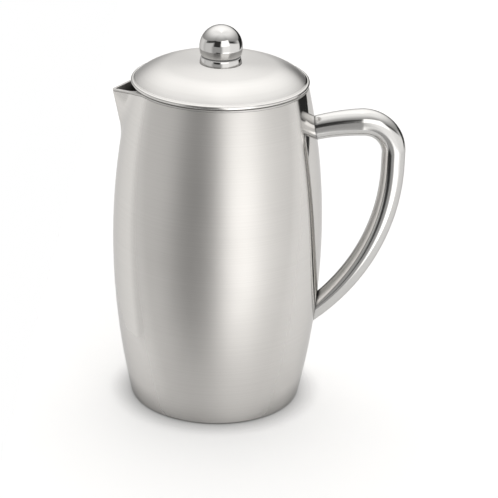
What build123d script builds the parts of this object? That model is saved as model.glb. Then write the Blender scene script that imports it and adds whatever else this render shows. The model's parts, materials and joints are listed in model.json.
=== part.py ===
from build123d import *
from math import acos, asin, cos, pi, sin, sqrt
import os

# A double-walled steel french press, in millimetres. +Z is up, the pot stands on Z = 0,
# the spout points along -X and the handle along +X. The plunger is pressed down.

# Pot: a barrel whose outside is two arcs that meet upright at the belly
belly_r = 60.0
belly_z = 97.3
foot_r = 49.2
rim_r = 49.2
rim_z = 189.4
foot_round = 2.0
shell_wall = 0.8
foot_lip = 1.0
foot_hole_r = 44.0

# Straight inner wall that the filter runs in
liner_r = 46.5
liner_wall = 0.8
liner_floor_z = 8.0
liner_corner = 8.0
wall_gap = 0.3
rim_band = 1.0
seam = 0.05

# Plate that closes the foot
cover_r = 43.9
cover_flange_r = 46.5
cover_thick = 1.0
cover_flange_thick = 0.8
cover_groove_r = 33.0
cover_groove_width = 5.0
cover_groove_depth = 0.4

# Pulled spout: a V that leans out to its tip
tip_x = -60.2
tip_z = 184.0
nose_lean = 0.213
nose_round = 2.6
spout_half_angle = 46.0
spout_blend = 9.0
spout_low_z = 150.0
spout_high_z = 194.0
spout_back_x = -30.0
lip_knee = (-49.2, 186.3)
lip_root = (-42.5, 189.4)
channel_bend_z = 178.0
channel_low_z = 160.0
channel_low_x = -45.8

# Handle: one bent tube in the plane Y = 0, fullest where the upper run turns down
tube_wall = 1.2
tube_root_r = 6.5
tube_turn_r = 7.7
tube_side_r = 6.7
tube_foot_r = 6.2
handle_start_x = 46.0
handle_run_r = 117.6
handle_run_lean = 2.5
handle_side_x = 98.6
handle_bend_r = 17.5
handle_bend_z = 150.7
handle_side_low_z = 143.0
handle_sweep_r = 118.0
handle_end_z = 45.0

# Lid: a flat crown, a tight shoulder and a rolled bead
lid_sheet = 0.8
crown_z = 201.0
shoulder_r = 30.4
crown_drop = 1.2
dome_foot = (48.8, 191.4)
bead_r = 48.8
bead_z = 190.8
bead_round = 1.1
lid_hole_r = 6.2
underplate_r = 47.6
underplate_z = 189.9
underplate_thick = 0.8

# Guide for the rod in the middle of the lid
collar_r = 11.8
collar_top_z = 204.5
collar_edge = 0.6
stem_r = 6.0
stem_low_z = 185.2
stem_bore_r = 4.5
bush_r = 4.45
bush_top_z = 204.0
bush_flange_r = 5.9
bush_flange_thick = 1.2
washer_r = 9.6
washer_thick = 0.8
nut_flats = 16.0
nut_thick = 3.0

# Strainer ring that hangs in the mouth below the lid
strainer_r = 46.1
strainer_wall = 0.8
strainer_low_z = 177.0
strainer_top_z = 189.5
strainer_flange_in_r = 40.3
strainer_flange_thick = 0.8
slot_width = 1.6
slot_height = 7.6
slot_low_z = 179.2
slot_count = 25
slot_step = 3.2
retainer_r = 39.2
retainer_wall = 0.8
retainer_lip_r = 43.0
retainer_low_z = 187.6

# Rod and knob
rod_r = 2.5
rod_top_z = 214.0
rod_end_r = 2.0
rod_end_z = 23.5
running_gap = 0.05
knob_r = 12.1
knob_z = 210.4
knob_cut_z = 205.6
knob_wall = 1.0
knob_lip_round = 0.4
knob_hole_r = 7.0
neck_r = 8.3
neck_low_z = 204.6
plug_r = 6.95
plug_top_z = 207.8
boss_r = 4.6
boss_top_z = 216.5

# Filter on the end of the rod
plate_z = 29.0
plate_r = 44.1
plate_thick = 0.8
plate_hole_ring_r = 29.0
plate_hole_r = 6.5
plate_small_ring_r = 15.5
plate_small_hole_r = 3.5
plate_hole_count = 8
spring_ring_r = 43.2
spring_coil_r = 1.75
spring_wire_r = 0.35
spring_turns = 60
spring_hole_r = 0.9
shoulder_thick = 3.0
shoulder_out_r = 6.0
shoulder_chamfer = 0.8
mesh_thick = 0.45
mesh_flat_r = 39.0
mesh_trough_r = 40.6
mesh_out_r = 46.15
mesh_trough_drop = 2.6
mesh_edge_rise = 2.8
cross_r = 38.0
cross_thick = 1.0
cross_arm = 10.0
cross_window_in_r = 10.0
cross_window_out_r = 33.0
cap_flats = 10.0
cap_thick = 3.6
cap_round = 4.4


def turned(*lines):
    return revolve(Plane.XZ * make_face(lines), Axis.Z)


def disc(radius, low, high):
    return Pos(0, 0, low) * Cylinder(radius, high - low, align=(Align.CENTER, Align.CENTER, Align.MIN))


def ring(outer, inner, low, high):
    return disc(outer, low, high) - disc(inner, low, high)


def hexagon(flats, low, high):
    outline = RegularPolygon(flats / 2, 6, major_radius=False)
    return Pos(0, 0, low) * extrude(outline, high - low)


def save(shape, name):
    export_step(shape, "parts/" + name + ".step")
    print(name, round(shape.volume, 1), "solids", len(shape.solids()))


# Solid barrel, shrunk sideways by an inset, from a floor to just above the rim
def barrel(inset, floor_z):
    belly = (belly_r - inset, belly_z)
    lower = TangentArc(belly, (foot_r - inset, floor_z), tangent=(0, -1))
    upper = TangentArc(belly, (rim_r - inset, rim_z), tangent=(0, 1))
    over = Line(upper @ 1, (rim_r - inset, spout_high_z))
    top = Line(over @ 1, (0, spout_high_z))
    axis = Line(top @ 1, (0, floor_z))
    floor = Line(axis @ 1, lower @ 1)
    return turned(lower, upper, over, top, axis, floor)


# Flat V outline with a rounded nose, its nose at x
def spout_outline(nose_x, radius, height):
    lean = spout_half_angle * pi / 180
    middle = nose_x + radius
    touch = (middle - radius * sin(lean), radius * cos(lean))
    reach = (spout_back_x - touch[0]) / cos(lean)
    back = (spout_back_x, touch[1] + reach * sin(lean))
    nose = ThreePointArc((touch[0], -touch[1]), (nose_x, 0), touch)
    side = Line(touch, back)
    end = Line(back, (back[0], -back[1]))
    other = Line((back[0], -back[1]), (touch[0], -touch[1]))
    return Plane.XY.offset(height) * make_face([nose, side, end, other])


def nose_at(height):
    return tip_x + (tip_z - height) * nose_lean


def spout_outside(inset):
    outlines = []
    for height in (spout_low_z, spout_high_z):
        outlines.append(spout_outline(nose_at(height) + inset, nose_round - inset, height))
    return loft(outlines, ruled=True)


# The liner's own channel follows the spout, then falls back to the straight wall
def spout_channel(inset, low_x):
    radius = nose_round - inset
    outlines = [spout_outline(low_x, radius, channel_low_z)]
    for height in (channel_bend_z, spout_high_z):
        outlines.append(spout_outline(nose_at(height) + inset, radius, height))
    return loft(outlines, ruled=True)


# Barrel and spout in one, with the root of the spout rounded into the wall
def pot_outside(inset, floor_z):
    wall = barrel(inset, floor_z)
    body = wall + spout_outside(inset)
    root = []
    for edge in body.edges():
        middle = edge @ 0.5
        in_spout = middle.X < spout_back_x and middle.Z > spout_low_z
        if in_spout and wall.distance_to(middle) < seam:
            root.append(edge)
    return fillet(root, spout_blend + inset)


# Everything above the rim, which dips along the spout to the lip
def above_rim(drop):
    slope = (lip_knee[1] - tip_z) / (lip_knee[0] - tip_x)
    far_x = 2 * tip_x
    far = (far_x, tip_z + (far_x - tip_x) * slope)
    high = 2 * rim_z
    corners = [far, lip_knee, lip_root, (-far_x, rim_z), (-far_x, high), (far_x, high)]
    face = make_face(Polyline(*corners, close=True))
    knees = face.vertices().filter_by(lambda point: point.Y < rim_z + 1 and abs(point.X) < abs(tip_x))
    profile = Plane.XZ * fillet(knees, spout_blend)
    return Pos(0, 0, -drop) * extrude(profile, abs(far_x), both=True)


def make_outer_shell(outside):
    hollow = pot_outside(shell_wall, foot_lip)
    rounded = fillet(outside.edges().group_by(Axis.Z)[0], foot_round)
    shell = rounded - hollow - disc(foot_hole_r, -1, foot_lip + 1)
    return shell - above_rim(rim_band + seam)


# Straight tube with a rounded floor and the spout's channel
def liner_solid(inset, offset):
    tube = disc(liner_r + offset, liner_floor_z - offset, spout_high_z)
    tube = fillet(tube.edges().group_by(Axis.Z)[0], liner_corner + offset)
    return tube + spout_channel(inset, channel_low_x - offset)


def make_inner_liner(outside):
    outer_inset = shell_wall + wall_gap
    outer = liner_solid(outer_inset, liner_wall)
    inner = liner_solid(outer_inset + liner_wall, 0)
    wall = outer - inner - above_rim(rim_band)
    band = (outside - inner - above_rim(0)) & above_rim(rim_band)
    return wall + band


def make_base_cover():
    flange_top = cover_thick + cover_flange_thick
    plate = disc(cover_r, 0, cover_thick + seam) + disc(cover_flange_r, cover_thick + seam, flange_top)
    half = cover_groove_width / 2
    return plate - ring(cover_groove_r + half, cover_groove_r - half, 0, cover_groove_depth)


# Upper run, bend, side and lower sweep of the handle's middle line
def handle_lines():
    lean = handle_run_lean * pi / 180
    bend_x = handle_side_x - handle_bend_r
    rest = handle_run_r - handle_bend_r
    run_x = bend_x + rest * sin(lean)
    run_z = handle_bend_z - rest * cos(lean)
    first = acos((handle_start_x - run_x) / handle_run_r) * 180 / pi
    turn = 90 + handle_run_lean
    drop = asin((handle_side_low_z - handle_end_z) / handle_sweep_r) * 180 / pi
    run = CenterArc((run_x, run_z), handle_run_r, first, turn - first)
    bend = CenterArc((bend_x, handle_bend_z), handle_bend_r, turn, -turn)
    side = Line(bend @ 1, (handle_side_x, handle_side_low_z))
    lower = CenterArc((handle_side_x - handle_sweep_r, handle_side_low_z), handle_sweep_r, 0, -drop)
    return [(Plane.XZ * line).edge() for line in (run, bend, side, lower)]


# One stretch of the tube, from one radius to another
def tube_stretch(lines, first_r, last_r):
    first, last = lines[0], lines[-1]
    start = Plane(origin=first @ 0, x_dir=(0, 1, 0), z_dir=first % 0)
    end = Plane(origin=last @ 1, x_dir=(0, 1, 0), z_dir=last % 1)
    return sweep([start * Circle(first_r), end * Circle(last_r)], Wire(lines), multisection=True)


def handle_solid(inset):
    run, bend, side, lower = handle_lines()
    upper = tube_stretch([run], tube_root_r - inset, tube_turn_r - inset)
    turn = tube_stretch([bend], tube_turn_r - inset, tube_side_r - inset)
    return upper + turn + tube_stretch([side, lower], tube_side_r - inset, tube_foot_r - inset)


def make_handle(outside):
    tube = handle_solid(0) - handle_solid(tube_wall)
    outer = tube - Pos(seam, 0, 0) * outside
    return outer.solids().sort_by(Axis.X)[-1]


# Crown and shoulder arcs of the dome, moved inwards by an inset, down to the bead
def dome_solid(inset):
    crown_r = (shoulder_r**2 + crown_drop**2) / (2 * crown_drop)
    inward = Vector(-shoulder_r / crown_r, -(crown_r - crown_drop) / crown_r)
    along = Vector(-inward.Y, inward.X)
    knee = Vector(shoulder_r, crown_z - crown_drop)
    chord = Vector(*dome_foot) - knee
    shoulder_round = chord.dot(chord) / (2 * chord.dot(inward))
    centre = knee + inward * shoulder_round
    foot = Vector(*dome_foot) + (centre - Vector(*dome_foot)).normalized() * inset
    crown = TangentArc((0, crown_z - inset), knee + inward * inset, tangent=(1, 0))
    shoulder = TangentArc(crown @ 1, foot, tangent=along)
    drop = Line(foot, (foot.X, bead_z))
    floor = Line(drop @ 1, (0, bead_z))
    axis = Line(floor @ 1, (0, crown_z - inset))
    return turned(crown, shoulder, drop, floor, axis)


def make_lid_dome():
    sheet = dome_solid(0) - dome_solid(lid_sheet)
    bead = Pos(0, 0, bead_z) * Torus(bead_r, bead_round)
    return sheet + bead - disc(lid_hole_r, bead_z, crown_z + 1)


def make_underplate():
    return ring(underplate_r, lid_hole_r, underplate_z, underplate_z + underplate_thick)


def make_lid_collar():
    head = disc(collar_r, dome_foot[1], collar_top_z)
    head = fillet(head.edges().group_by(Axis.Z)[-1], collar_edge)
    head = head - Pos(0, 0, seam) * dome_solid(0)
    return head + disc(stem_r, stem_low_z, collar_top_z - 1) - disc(stem_bore_r, stem_low_z, collar_top_z)


def make_guide_bush():
    flange_low = stem_low_z - seam - bush_flange_thick
    sleeve = disc(bush_r, flange_low, bush_top_z) + disc(bush_flange_r, flange_low, stem_low_z - seam)
    return sleeve - disc(rod_r + running_gap, flange_low, bush_top_z)


def make_collar_washer():
    return ring(washer_r, lid_hole_r, underplate_z - washer_thick, underplate_z)


def make_collar_nut():
    top = underplate_z - washer_thick
    nut = hexagon(nut_flats, top - nut_thick, top)
    return nut - disc(stem_r + seam, top - nut_thick, top)


def make_strainer_ring():
    wall = ring(strainer_r, strainer_r - strainer_wall, strainer_low_z, strainer_top_z)
    flange_low = strainer_top_z - strainer_flange_thick
    body = wall + ring(strainer_r - strainer_wall / 2, strainer_flange_in_r, flange_low, strainer_top_z)
    slot = Pos(-strainer_r, 0, slot_low_z + slot_height / 2) * Box(4 * strainer_wall, slot_width, slot_height)
    slots = []
    for index in range(slot_count):
        slots.append(Rot(0, 0, (index - (slot_count - 1) / 2) * slot_step) * slot)
    return body - slots


def make_strainer_retainer():
    neck = ring(retainer_r + retainer_wall, retainer_r, retainer_low_z, underplate_z)
    return neck + ring(retainer_lip_r, retainer_r, retainer_low_z, retainer_low_z + retainer_wall)


def make_rod():
    shoulder_z = plate_z + plate_thick / 2
    return disc(rod_r, shoulder_z, rod_top_z) + disc(rod_end_r, rod_end_z, shoulder_z)


def make_knob_ball():
    low = knob_z - knob_r
    outer = Pos(0, 0, knob_z) * Sphere(knob_r) - disc(knob_r, low, knob_cut_z)
    outer = fillet(outer.edges().group_by(Axis.Z)[0], knob_lip_round)
    hollow = Pos(0, 0, knob_z) * Sphere(knob_r - knob_wall) - disc(knob_r, low, knob_cut_z + knob_wall)
    return outer - hollow - disc(knob_hole_r, low, knob_z)


def make_knob_base():
    neck = disc(neck_r, neck_low_z, knob_cut_z)
    plug = disc(plug_r, knob_cut_z - seam, plug_top_z) + disc(boss_r, knob_cut_z, boss_top_z)
    return neck + plug - disc(rod_r + running_gap, neck_low_z, rod_top_z + 1)


def make_rod_shoulder():
    low = plate_z + plate_thick / 2
    collar = ring(shoulder_out_r, rod_r + running_gap, low, low + shoulder_thick)
    return chamfer(collar.edges().group_by(Axis.Z)[-1].sort_by(SortBy.LENGTH)[-1], shoulder_chamfer)


# Point and direction on the spring at a winding angle, counted from its outside
def spring_point(angle):
    turn = angle / (spring_turns + 1)
    out = spring_ring_r + spring_coil_r * cos(angle)
    return Vector(out * cos(turn), out * sin(turn), plate_z + spring_coil_r * sin(angle))


def spring_direction(angle):
    turn = angle / (spring_turns + 1)
    out = spring_ring_r + spring_coil_r * cos(angle)
    outward = -spring_coil_r * sin(angle)
    around = out / (spring_turns + 1)
    x = outward * cos(turn) - around * sin(turn)
    y = outward * sin(turn) + around * cos(turn)
    return Vector(x, y, spring_coil_r * cos(angle)).normalized()


# Two arcs that leave one point and reach the next along the spring's directions
def spring_biarc(first, last):
    start, end = spring_point(first), spring_point(last)
    leave, arrive = spring_direction(first), spring_direction(last)
    chord = end - start
    both = leave + arrive
    spread = 2 * (1 - leave.dot(arrive))
    along = chord.dot(both)
    reach = (sqrt(along**2 + spread * chord.dot(chord)) - along) / spread
    middle = (start + end + (leave - arrive) * reach) * 0.5
    first_arc = TangentArc(start, middle, tangent=leave)
    return first_arc, TangentArc(middle, end, tangent=first_arc % 1)


def make_edge_spring():
    arcs = []
    for half in range(2 * spring_turns):
        arcs.extend(spring_biarc(half * pi, (half + 1) * pi))
    path = Wire([arc.edge() for arc in arcs])
    start = Plane(origin=path @ 0, z_dir=path % 0)
    return sweep(start * Circle(spring_wire_r), path)


def spring_self_gap():
    steps = 24
    points = [spring_point(index * 2 * pi / steps) for index in range(spring_turns * steps + 1)]
    least = 2 * spring_ring_r
    for index, point in enumerate(points):
        for other in points[index + steps // 2 : index + 2 * steps]:
            least = min(least, (other - point).length)
        if index > steps * (spring_turns - 1):
            least = min(least, min((other - point).length for other in points[:steps]))
    return least - 2 * spring_wire_r


def make_spring_plate():
    low = plate_z - plate_thick / 2
    plate = ring(plate_r, rod_end_r + running_gap, low, low + plate_thick)
    step = 360 / plate_hole_count
    large = Pos(plate_hole_ring_r, 0, 0) * disc(plate_hole_r, low, low + plate_thick)
    small = Pos(plate_small_ring_r, 0, 0) * disc(plate_small_hole_r, low, low + plate_thick)
    holes = []
    for index in range(plate_hole_count):
        holes.append(Rot(0, 0, index * step) * large)
        holes.append(Rot(0, 0, (index + 0.5) * step) * small)
    for index in range(spring_turns):
        crossing = spring_point((2 * index + 1) * pi)
        holes.append(Pos(crossing.X, crossing.Y, 0) * disc(spring_hole_r, low, low + plate_thick))
    return plate - holes


# Woven screen: flat under the plate, a trough under the spring and an upturned edge
def make_filter_mesh():
    top = plate_z - plate_thick / 2
    trough = top - mesh_trough_drop
    edge = trough + mesh_edge_rise
    corners = [
        (rod_end_r + running_gap, top),
        (mesh_flat_r, top),
        (mesh_trough_r, trough),
        (mesh_out_r - mesh_thick, trough),
        (mesh_out_r - mesh_thick, edge),
        (mesh_out_r, edge),
        (mesh_out_r, trough - mesh_thick),
        (mesh_trough_r - mesh_thick / 2, trough - mesh_thick),
        (mesh_flat_r - mesh_thick / 2, top - mesh_thick),
        (rod_end_r + running_gap, top - mesh_thick),
    ]
    return turned(*Polyline(*corners, close=True).edges())


def make_cross_plate():
    top = plate_z - plate_thick / 2 - mesh_thick
    low = top - cross_thick
    plate = ring(cross_r, rod_end_r + running_gap, low, top)
    span = ring(cross_window_out_r, cross_window_in_r, low, top)
    arm_x = Pos(0, 0, low) * Box(2 * cross_r, cross_arm, 4 * cross_thick)
    arm_y = Rot(0, 0, 90) * arm_x
    return plate - (span - arm_x - arm_y)


def make_filter_nut():
    top = plate_z - plate_thick / 2 - mesh_thick - cross_thick
    low = top - cap_thick
    end = Pos(0, 0, low) * Sphere(cap_round) - disc(cap_round, low, low + cap_round)
    return hexagon(cap_flats, low, top) + end - disc(rod_end_r + running_gap, rod_end_z - seam, top)


os.makedirs("parts", exist_ok=True)
pot = pot_outside(0, 0)
save(make_outer_shell(pot), "outer_shell")
save(make_inner_liner(pot), "inner_liner")
save(make_base_cover(), "base_cover")
save(make_handle(pot), "handle_tube")
save(make_lid_dome(), "lid_dome")
save(make_underplate(), "lid_underplate")
save(make_lid_collar(), "lid_collar")
save(make_guide_bush(), "guide_bush")
save(make_collar_washer(), "collar_washer")
save(make_collar_nut(), "collar_nut")
save(make_strainer_ring(), "strainer_ring")
save(make_strainer_retainer(), "strainer_retainer")
save(make_rod(), "plunger_rod")
save(make_knob_ball(), "knob_ball")
save(make_knob_base(), "knob_base")
save(make_rod_shoulder(), "rod_shoulder")
save(make_spring_plate(), "spring_plate")
save(make_edge_spring(), "edge_spring")
save(make_filter_mesh(), "filter_mesh")
save(make_cross_plate(), "cross_plate")
save(make_filter_nut(), "filter_nut")
print("spring's least gap to itself", round(spring_self_gap(), 2), "mm")
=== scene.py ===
import bpy
import json
import math
from mathutils import Matrix, Vector


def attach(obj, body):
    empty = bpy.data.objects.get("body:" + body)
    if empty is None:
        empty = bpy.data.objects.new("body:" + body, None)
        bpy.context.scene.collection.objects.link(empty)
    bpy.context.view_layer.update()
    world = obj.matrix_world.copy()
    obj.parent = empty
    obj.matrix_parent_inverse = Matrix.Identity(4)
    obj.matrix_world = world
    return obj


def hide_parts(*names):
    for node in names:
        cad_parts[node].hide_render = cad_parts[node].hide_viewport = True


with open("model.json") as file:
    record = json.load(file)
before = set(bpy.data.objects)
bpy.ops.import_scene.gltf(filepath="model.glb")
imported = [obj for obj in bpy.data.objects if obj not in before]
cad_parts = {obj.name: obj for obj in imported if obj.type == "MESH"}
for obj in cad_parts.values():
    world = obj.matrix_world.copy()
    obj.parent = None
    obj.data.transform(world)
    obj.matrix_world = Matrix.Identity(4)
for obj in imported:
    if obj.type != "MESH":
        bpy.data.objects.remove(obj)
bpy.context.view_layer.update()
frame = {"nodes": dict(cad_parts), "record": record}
mm = 0.001
weldGap = 0.002 * mm  # points closer than this become one
smoothLimit = 32  # degrees, above which an edge stays sharp
print("frame loaded with", len(frame["nodes"]), "nodes")


# tools for drawing a profile and turning it

def clearSelection():
    if bpy.context.object and bpy.context.object.mode != "OBJECT":
        bpy.ops.object.mode_set(mode="OBJECT")
    bpy.ops.object.select_all(action="DESELECT")


def startProfile(name, point):
    clearSelection()
    bpy.ops.mesh.primitive_plane_add(size=mm)
    piece = bpy.context.object
    piece.name = name
    piece.data.name = name
    bpy.ops.object.mode_set(mode="EDIT")
    bpy.ops.mesh.select_all(action="SELECT")
    bpy.ops.mesh.merge(type="CENTER")  # one loose vertex is left
    bpy.ops.transform.translate(value=(point[0] * mm, 0, point[1] * mm))
    return piece


# corners are (radius, height) or (radius, height, rounding), in millimetres
def roundCorners(corners, parts):
    points = []
    count = len(corners)
    for index, corner in enumerate(corners):
        here = Vector(corner[:2])
        if len(corner) < 3:
            points.append(here)
            continue
        before = (Vector(corners[index - 1][:2]) - here).normalized()
        after = (Vector(corners[(index + 1) % count][:2]) - here).normalized()
        half = before.angle(after) / 2
        reach = corner[2] / math.tan(half)
        middle = here + (before + after).normalized() * corner[2] / math.sin(half)
        first = here + before * reach - middle
        last = here + after * reach - middle
        sweep = math.pi - 2 * half
        for step in range(parts + 1):
            share = step / parts
            one = math.sin((1 - share) * sweep)
            other = math.sin(share * sweep)
            points.append(middle + (first * one + last * other) / math.sin(sweep))
    return points


def arcPoints(centre, radius, start, end, parts):
    points = []
    for step in range(parts + 1):
        angle = math.radians(start + (end - start) * step / parts)
        across, up = radius * math.cos(angle), radius * math.sin(angle)
        points.append(Vector((centre[0] + across, centre[1] + up)))
    return points


def turnProfile(name, points, columns, smoothAngle=smoothLimit):
    piece = startProfile(name, points[0])
    loop = list(points) + [points[0]]
    for here, there in zip(loop, loop[1:]):
        step = ((there[0] - here[0]) * mm, 0, (there[1] - here[1]) * mm)
        bpy.ops.mesh.extrude_region_move(TRANSFORM_OT_translate={"value": step})
    bpy.ops.mesh.select_all(action="SELECT")
    bpy.ops.mesh.spin(steps=columns, angle=2 * math.pi, center=(0, 0, 0), axis=(0, 0, 1))
    bpy.ops.mesh.select_all(action="SELECT")
    bpy.ops.mesh.remove_doubles(threshold=weldGap)
    bpy.ops.mesh.normals_make_consistent(inside=False)
    bpy.ops.object.mode_set(mode="OBJECT")
    bpy.ops.object.shade_smooth_by_angle(angle=math.radians(smoothAngle))
    return piece


def turnCorners(name, corners, settings):
    return turnProfile(name, roundCorners(corners, settings["parts"]), settings["columns"])


def finishPiece(piece, body, slotName, *nodes):
    piece.data.materials.clear()
    piece.data.materials.append(finishes[slotName])
    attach(piece, body)
    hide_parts(*nodes)


# tools for nodes; a value is a plain number or colour, or the socket that is linked in

def feed(tree, node, values):
    for key, value in values.items():
        if isinstance(value, bpy.types.NodeSocket):
            tree.links.new(value, node.inputs[key])
        else:
            node.inputs[key].default_value = value


def addNode(tree, kind, values=None, **settings):
    node = tree.nodes.new(kind)
    for key, value in settings.items():
        setattr(node, key, value)
    feed(tree, node, values or {})
    return node


def newMaterial(name):
    material = bpy.data.materials.new(name)
    material.use_nodes = True
    tree = material.node_tree
    return material, tree, tree.nodes["Principled BSDF"]


def newGroup(name, inputs, outputs):
    group = bpy.data.node_groups.new(name, "ShaderNodeTree")
    for key in inputs:
        group.interface.new_socket(key, in_out="INPUT", socket_type="NodeSocketFloat")
    for key in outputs:
        group.interface.new_socket(key, in_out="OUTPUT", socket_type="NodeSocketFloat")
    return group, addNode(group, "NodeGroupInput").outputs, addNode(group, "NodeGroupOutput")


def mathNode(tree, operation, *values):
    node = addNode(tree, "ShaderNodeMath", dict(enumerate(values)), operation=operation)
    return node.outputs["Value"]


def vectorNode(tree, operation, *values):
    return addNode(tree, "ShaderNodeVectorMath", dict(enumerate(values)), operation=operation)


def remap(tree, source, low, high, fromLow=0.3, fromHigh=0.7):
    limits = {"From Min": fromLow, "From Max": fromHigh, "To Min": low, "To Max": high}
    return addNode(tree, "ShaderNodeMapRange", {"Value": source, **limits}).outputs["Result"]


def mixColours(tree, factor, low, high):
    values = {"Factor": factor}
    for key, colour in ((6, low), (7, high)):  # the mix node's colour sockets
        values[key] = (*colour, 1) if isinstance(colour, tuple) else colour
    return addNode(tree, "ShaderNodeMix", values, data_type="RGBA").outputs[2]


# paints shade into a colour where other surfaces stand close, by ambient occlusion; shade is the
# share of the colour left in a tight gap
def paintGapShade(tree, colour, settings):
    gap = addNode(tree, "ShaderNodeAmbientOcclusion", {"Distance": settings["reach"]}, samples=8)
    share = remap(tree, gap.outputs["AO"], settings["shade"], 1.0, *settings["span"])
    values = {0: colour, "Scale": share}
    return addNode(tree, "ShaderNodeVectorMath", values, operation="SCALE").outputs["Vector"]


# moves the roughness to another value while a measure rises through a span
def changeRough(tree, rough, measure, settings):
    share = remap(tree, measure, 0.0, 1.0, *settings["span"])
    values = {"Factor": share, "A": rough, "B": settings["rough"]}
    return addNode(tree, "ShaderNodeMix", values).outputs["Result"]


def raiseSurface(tree, shader, height, strength, depth):
    values = {"Height": height, "Strength": strength, "Distance": depth}
    feed(tree, shader, {"Normal": addNode(tree, "ShaderNodeBump", values).outputs["Normal"]})


# finishes

# fine brush lines that run round the axis, on walls by height and on lids by distance from it, with
# slow patches over them
def makeBrushGroup():
    group, given, result = newGroup(
        "brushLines", ("Line Scale", "Along Scale", "Patch Scale", "Ring Share"),
        ("Lines", "Patches", "Away"),
    )
    along, across = given["Along Scale"], given["Line Scale"]
    stretch = addNode(group, "ShaderNodeCombineXYZ", {"X": along, "Y": along, "Z": across})
    place = addNode(group, "ShaderNodeTexCoord").outputs["Object"]
    flat = vectorNode(group, "MULTIPLY", place, (1, 1, 0)).outputs["Vector"]
    away = vectorNode(group, "LENGTH", flat).outputs["Value"]
    ring = mathNode(group, "MULTIPLY", away, given["Ring Share"])
    lift = addNode(group, "ShaderNodeCombineXYZ", {"Z": ring}).outputs["Vector"]
    level = vectorNode(group, "ADD", place, lift).outputs["Vector"]
    scaled = vectorNode(group, "MULTIPLY", level, stretch.outputs["Vector"]).outputs["Vector"]
    lines = addNode(
        group, "ShaderNodeTexNoise",
        {"Vector": scaled, "Scale": 1.0, "Detail": 4.0, "Roughness": 0.7},
    )
    patches = addNode(
        group, "ShaderNodeTexNoise",
        {"Vector": place, "Scale": given["Patch Scale"], "Detail": 2.0, "Roughness": 0.5},
    )
    feed(group, result, {
        "Lines": lines.outputs["Fac"], "Patches": patches.outputs["Fac"], "Away": away,
    })
    return group


brushLines = makeBrushGroup()
brushDepth = 0.02 * mm
crossTurn = 0.25  # a quarter turn, so highlights stretch across the brush lines


def steelFinish(name, look):
    material, tree, shader = newMaterial(name)
    brush = addNode(tree, "ShaderNodeGroup", node_tree=brushLines)
    feed(tree, brush, {
        "Line Scale": look["lineScale"], "Along Scale": look["alongScale"],
        "Patch Scale": look["patchScale"], "Ring Share": look["ringShare"],
    })
    lines = brush.outputs["Lines"]
    colour = mixColours(tree, lines, look["dark"], look["light"])
    if "paintedCreviceShade" in look:  # narrow gaps between polished pieces get painted shade: ambient occlusion darkens the colour
        colour = paintGapShade(tree, colour, look["paintedCreviceShade"])
    rough = remap(tree, brush.outputs["Patches"], *look["rough"])
    if "graze" in look:  # brushed metal turns glossier at a low angle
        facing = addNode(tree, "ShaderNodeLayerWeight", {"Blend": 0.5})
        rough = changeRough(tree, rough, facing.outputs["Facing"], look["graze"])
    if "edge" in look:  # away from the axis: a polished bead, a handle buffed less than the knob
        rough = changeRough(tree, rough, brush.outputs["Away"], look["edge"])
    feed(tree, shader, {
        "Metallic": 1.0, "Base Color": colour, "Roughness": rough,
        "Specular Tint": (*look["rimTint"], 1),
    })
    if look["bump"] > 0:
        raiseSurface(tree, shader, lines, look["bump"], brushDepth)
    if look["anisotropic"] > 0:
        tangent = addNode(tree, "ShaderNodeTangent", direction_type="RADIAL", axis="Z")
        feed(tree, shader, {
            "Anisotropic": look["anisotropic"], "Anisotropic Rotation": crossTurn,
            "Tangent": tangent.outputs["Tangent"],
        })
    return material


steelLooks = {
    "brushed_shell": {
        "dark": (0.69, 0.675, 0.655), "light": (0.78, 0.765, 0.745), "rimTint": (0.75, 0.75, 0.75),
        "rough": (0.46, 0.54), "bump": 0.10, "anisotropic": 0.7,
        "graze": {"span": (0.32, 0.52), "rough": 0.06},
        "lineScale": 1600.0, "alongScale": 5.0, "patchScale": 18.0, "ringShare": 0.0,
    },
    "brushed_lid": {
        "dark": (0.70, 0.69, 0.675), "light": (0.76, 0.75, 0.735), "rimTint": (0.72, 0.72, 0.72),
        "rough": (0.28, 0.34), "bump": 0.06, "anisotropic": 0.8,
        "edge": {"span": (0.0474, 0.0480), "rough": 0.10},
        "lineScale": 1800.0, "alongScale": 5.0, "patchScale": 20.0, "ringShare": 1.0,
    },
    "polished_steel": {
        "dark": (0.66, 0.655, 0.645), "light": (0.70, 0.695, 0.685), "rimTint": (0.6, 0.6, 0.6),
        "rough": (0.02, 0.06), "bump": 0.0, "anisotropic": 0.0,
        # painted shade: ambient occlusion darkens the polished colour in narrow gaps, by the handle
        # root and between knob and collar
        "paintedCreviceShade": {"reach": 2.5 * mm, "shade": 0.12, "span": (0.35, 0.75)},
        "edge": {"span": (0.02, 0.04), "rough": 0.13},
        "lineScale": 60.0, "alongScale": 60.0, "patchScale": 45.0, "ringShare": 0.0,
    },
    "satin_liner": {
        "dark": (0.60, 0.59, 0.575), "light": (0.68, 0.67, 0.655), "rimTint": (0.8, 0.8, 0.8),
        "rough": (0.42, 0.55), "bump": 0.06, "anisotropic": 0.3,
        "lineScale": 1400.0, "alongScale": 6.0, "patchScale": 22.0, "ringShare": 1.0,
    },
    "fitting_steel": {
        "dark": (0.56, 0.56, 0.55), "light": (0.64, 0.64, 0.63), "rimTint": (0.8, 0.8, 0.8),
        "rough": (0.14, 0.24), "bump": 0.05, "anisotropic": 0.4,
        "lineScale": 1800.0, "alongScale": 20.0, "patchScale": 60.0, "ringShare": 1.0,
    },
    "filter_steel": {
        "dark": (0.58, 0.57, 0.56), "light": (0.68, 0.67, 0.66), "rimTint": (0.8, 0.8, 0.8),
        "rough": (0.16, 0.30), "bump": 0.0, "anisotropic": 0.0,
        "lineScale": 300.0, "alongScale": 300.0, "patchScale": 40.0, "ringShare": 0.0,
    },
}

finishes = {}
for finishName, look in steelLooks.items():
    finishes[finishName] = steelFinish(finishName, look)
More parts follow.
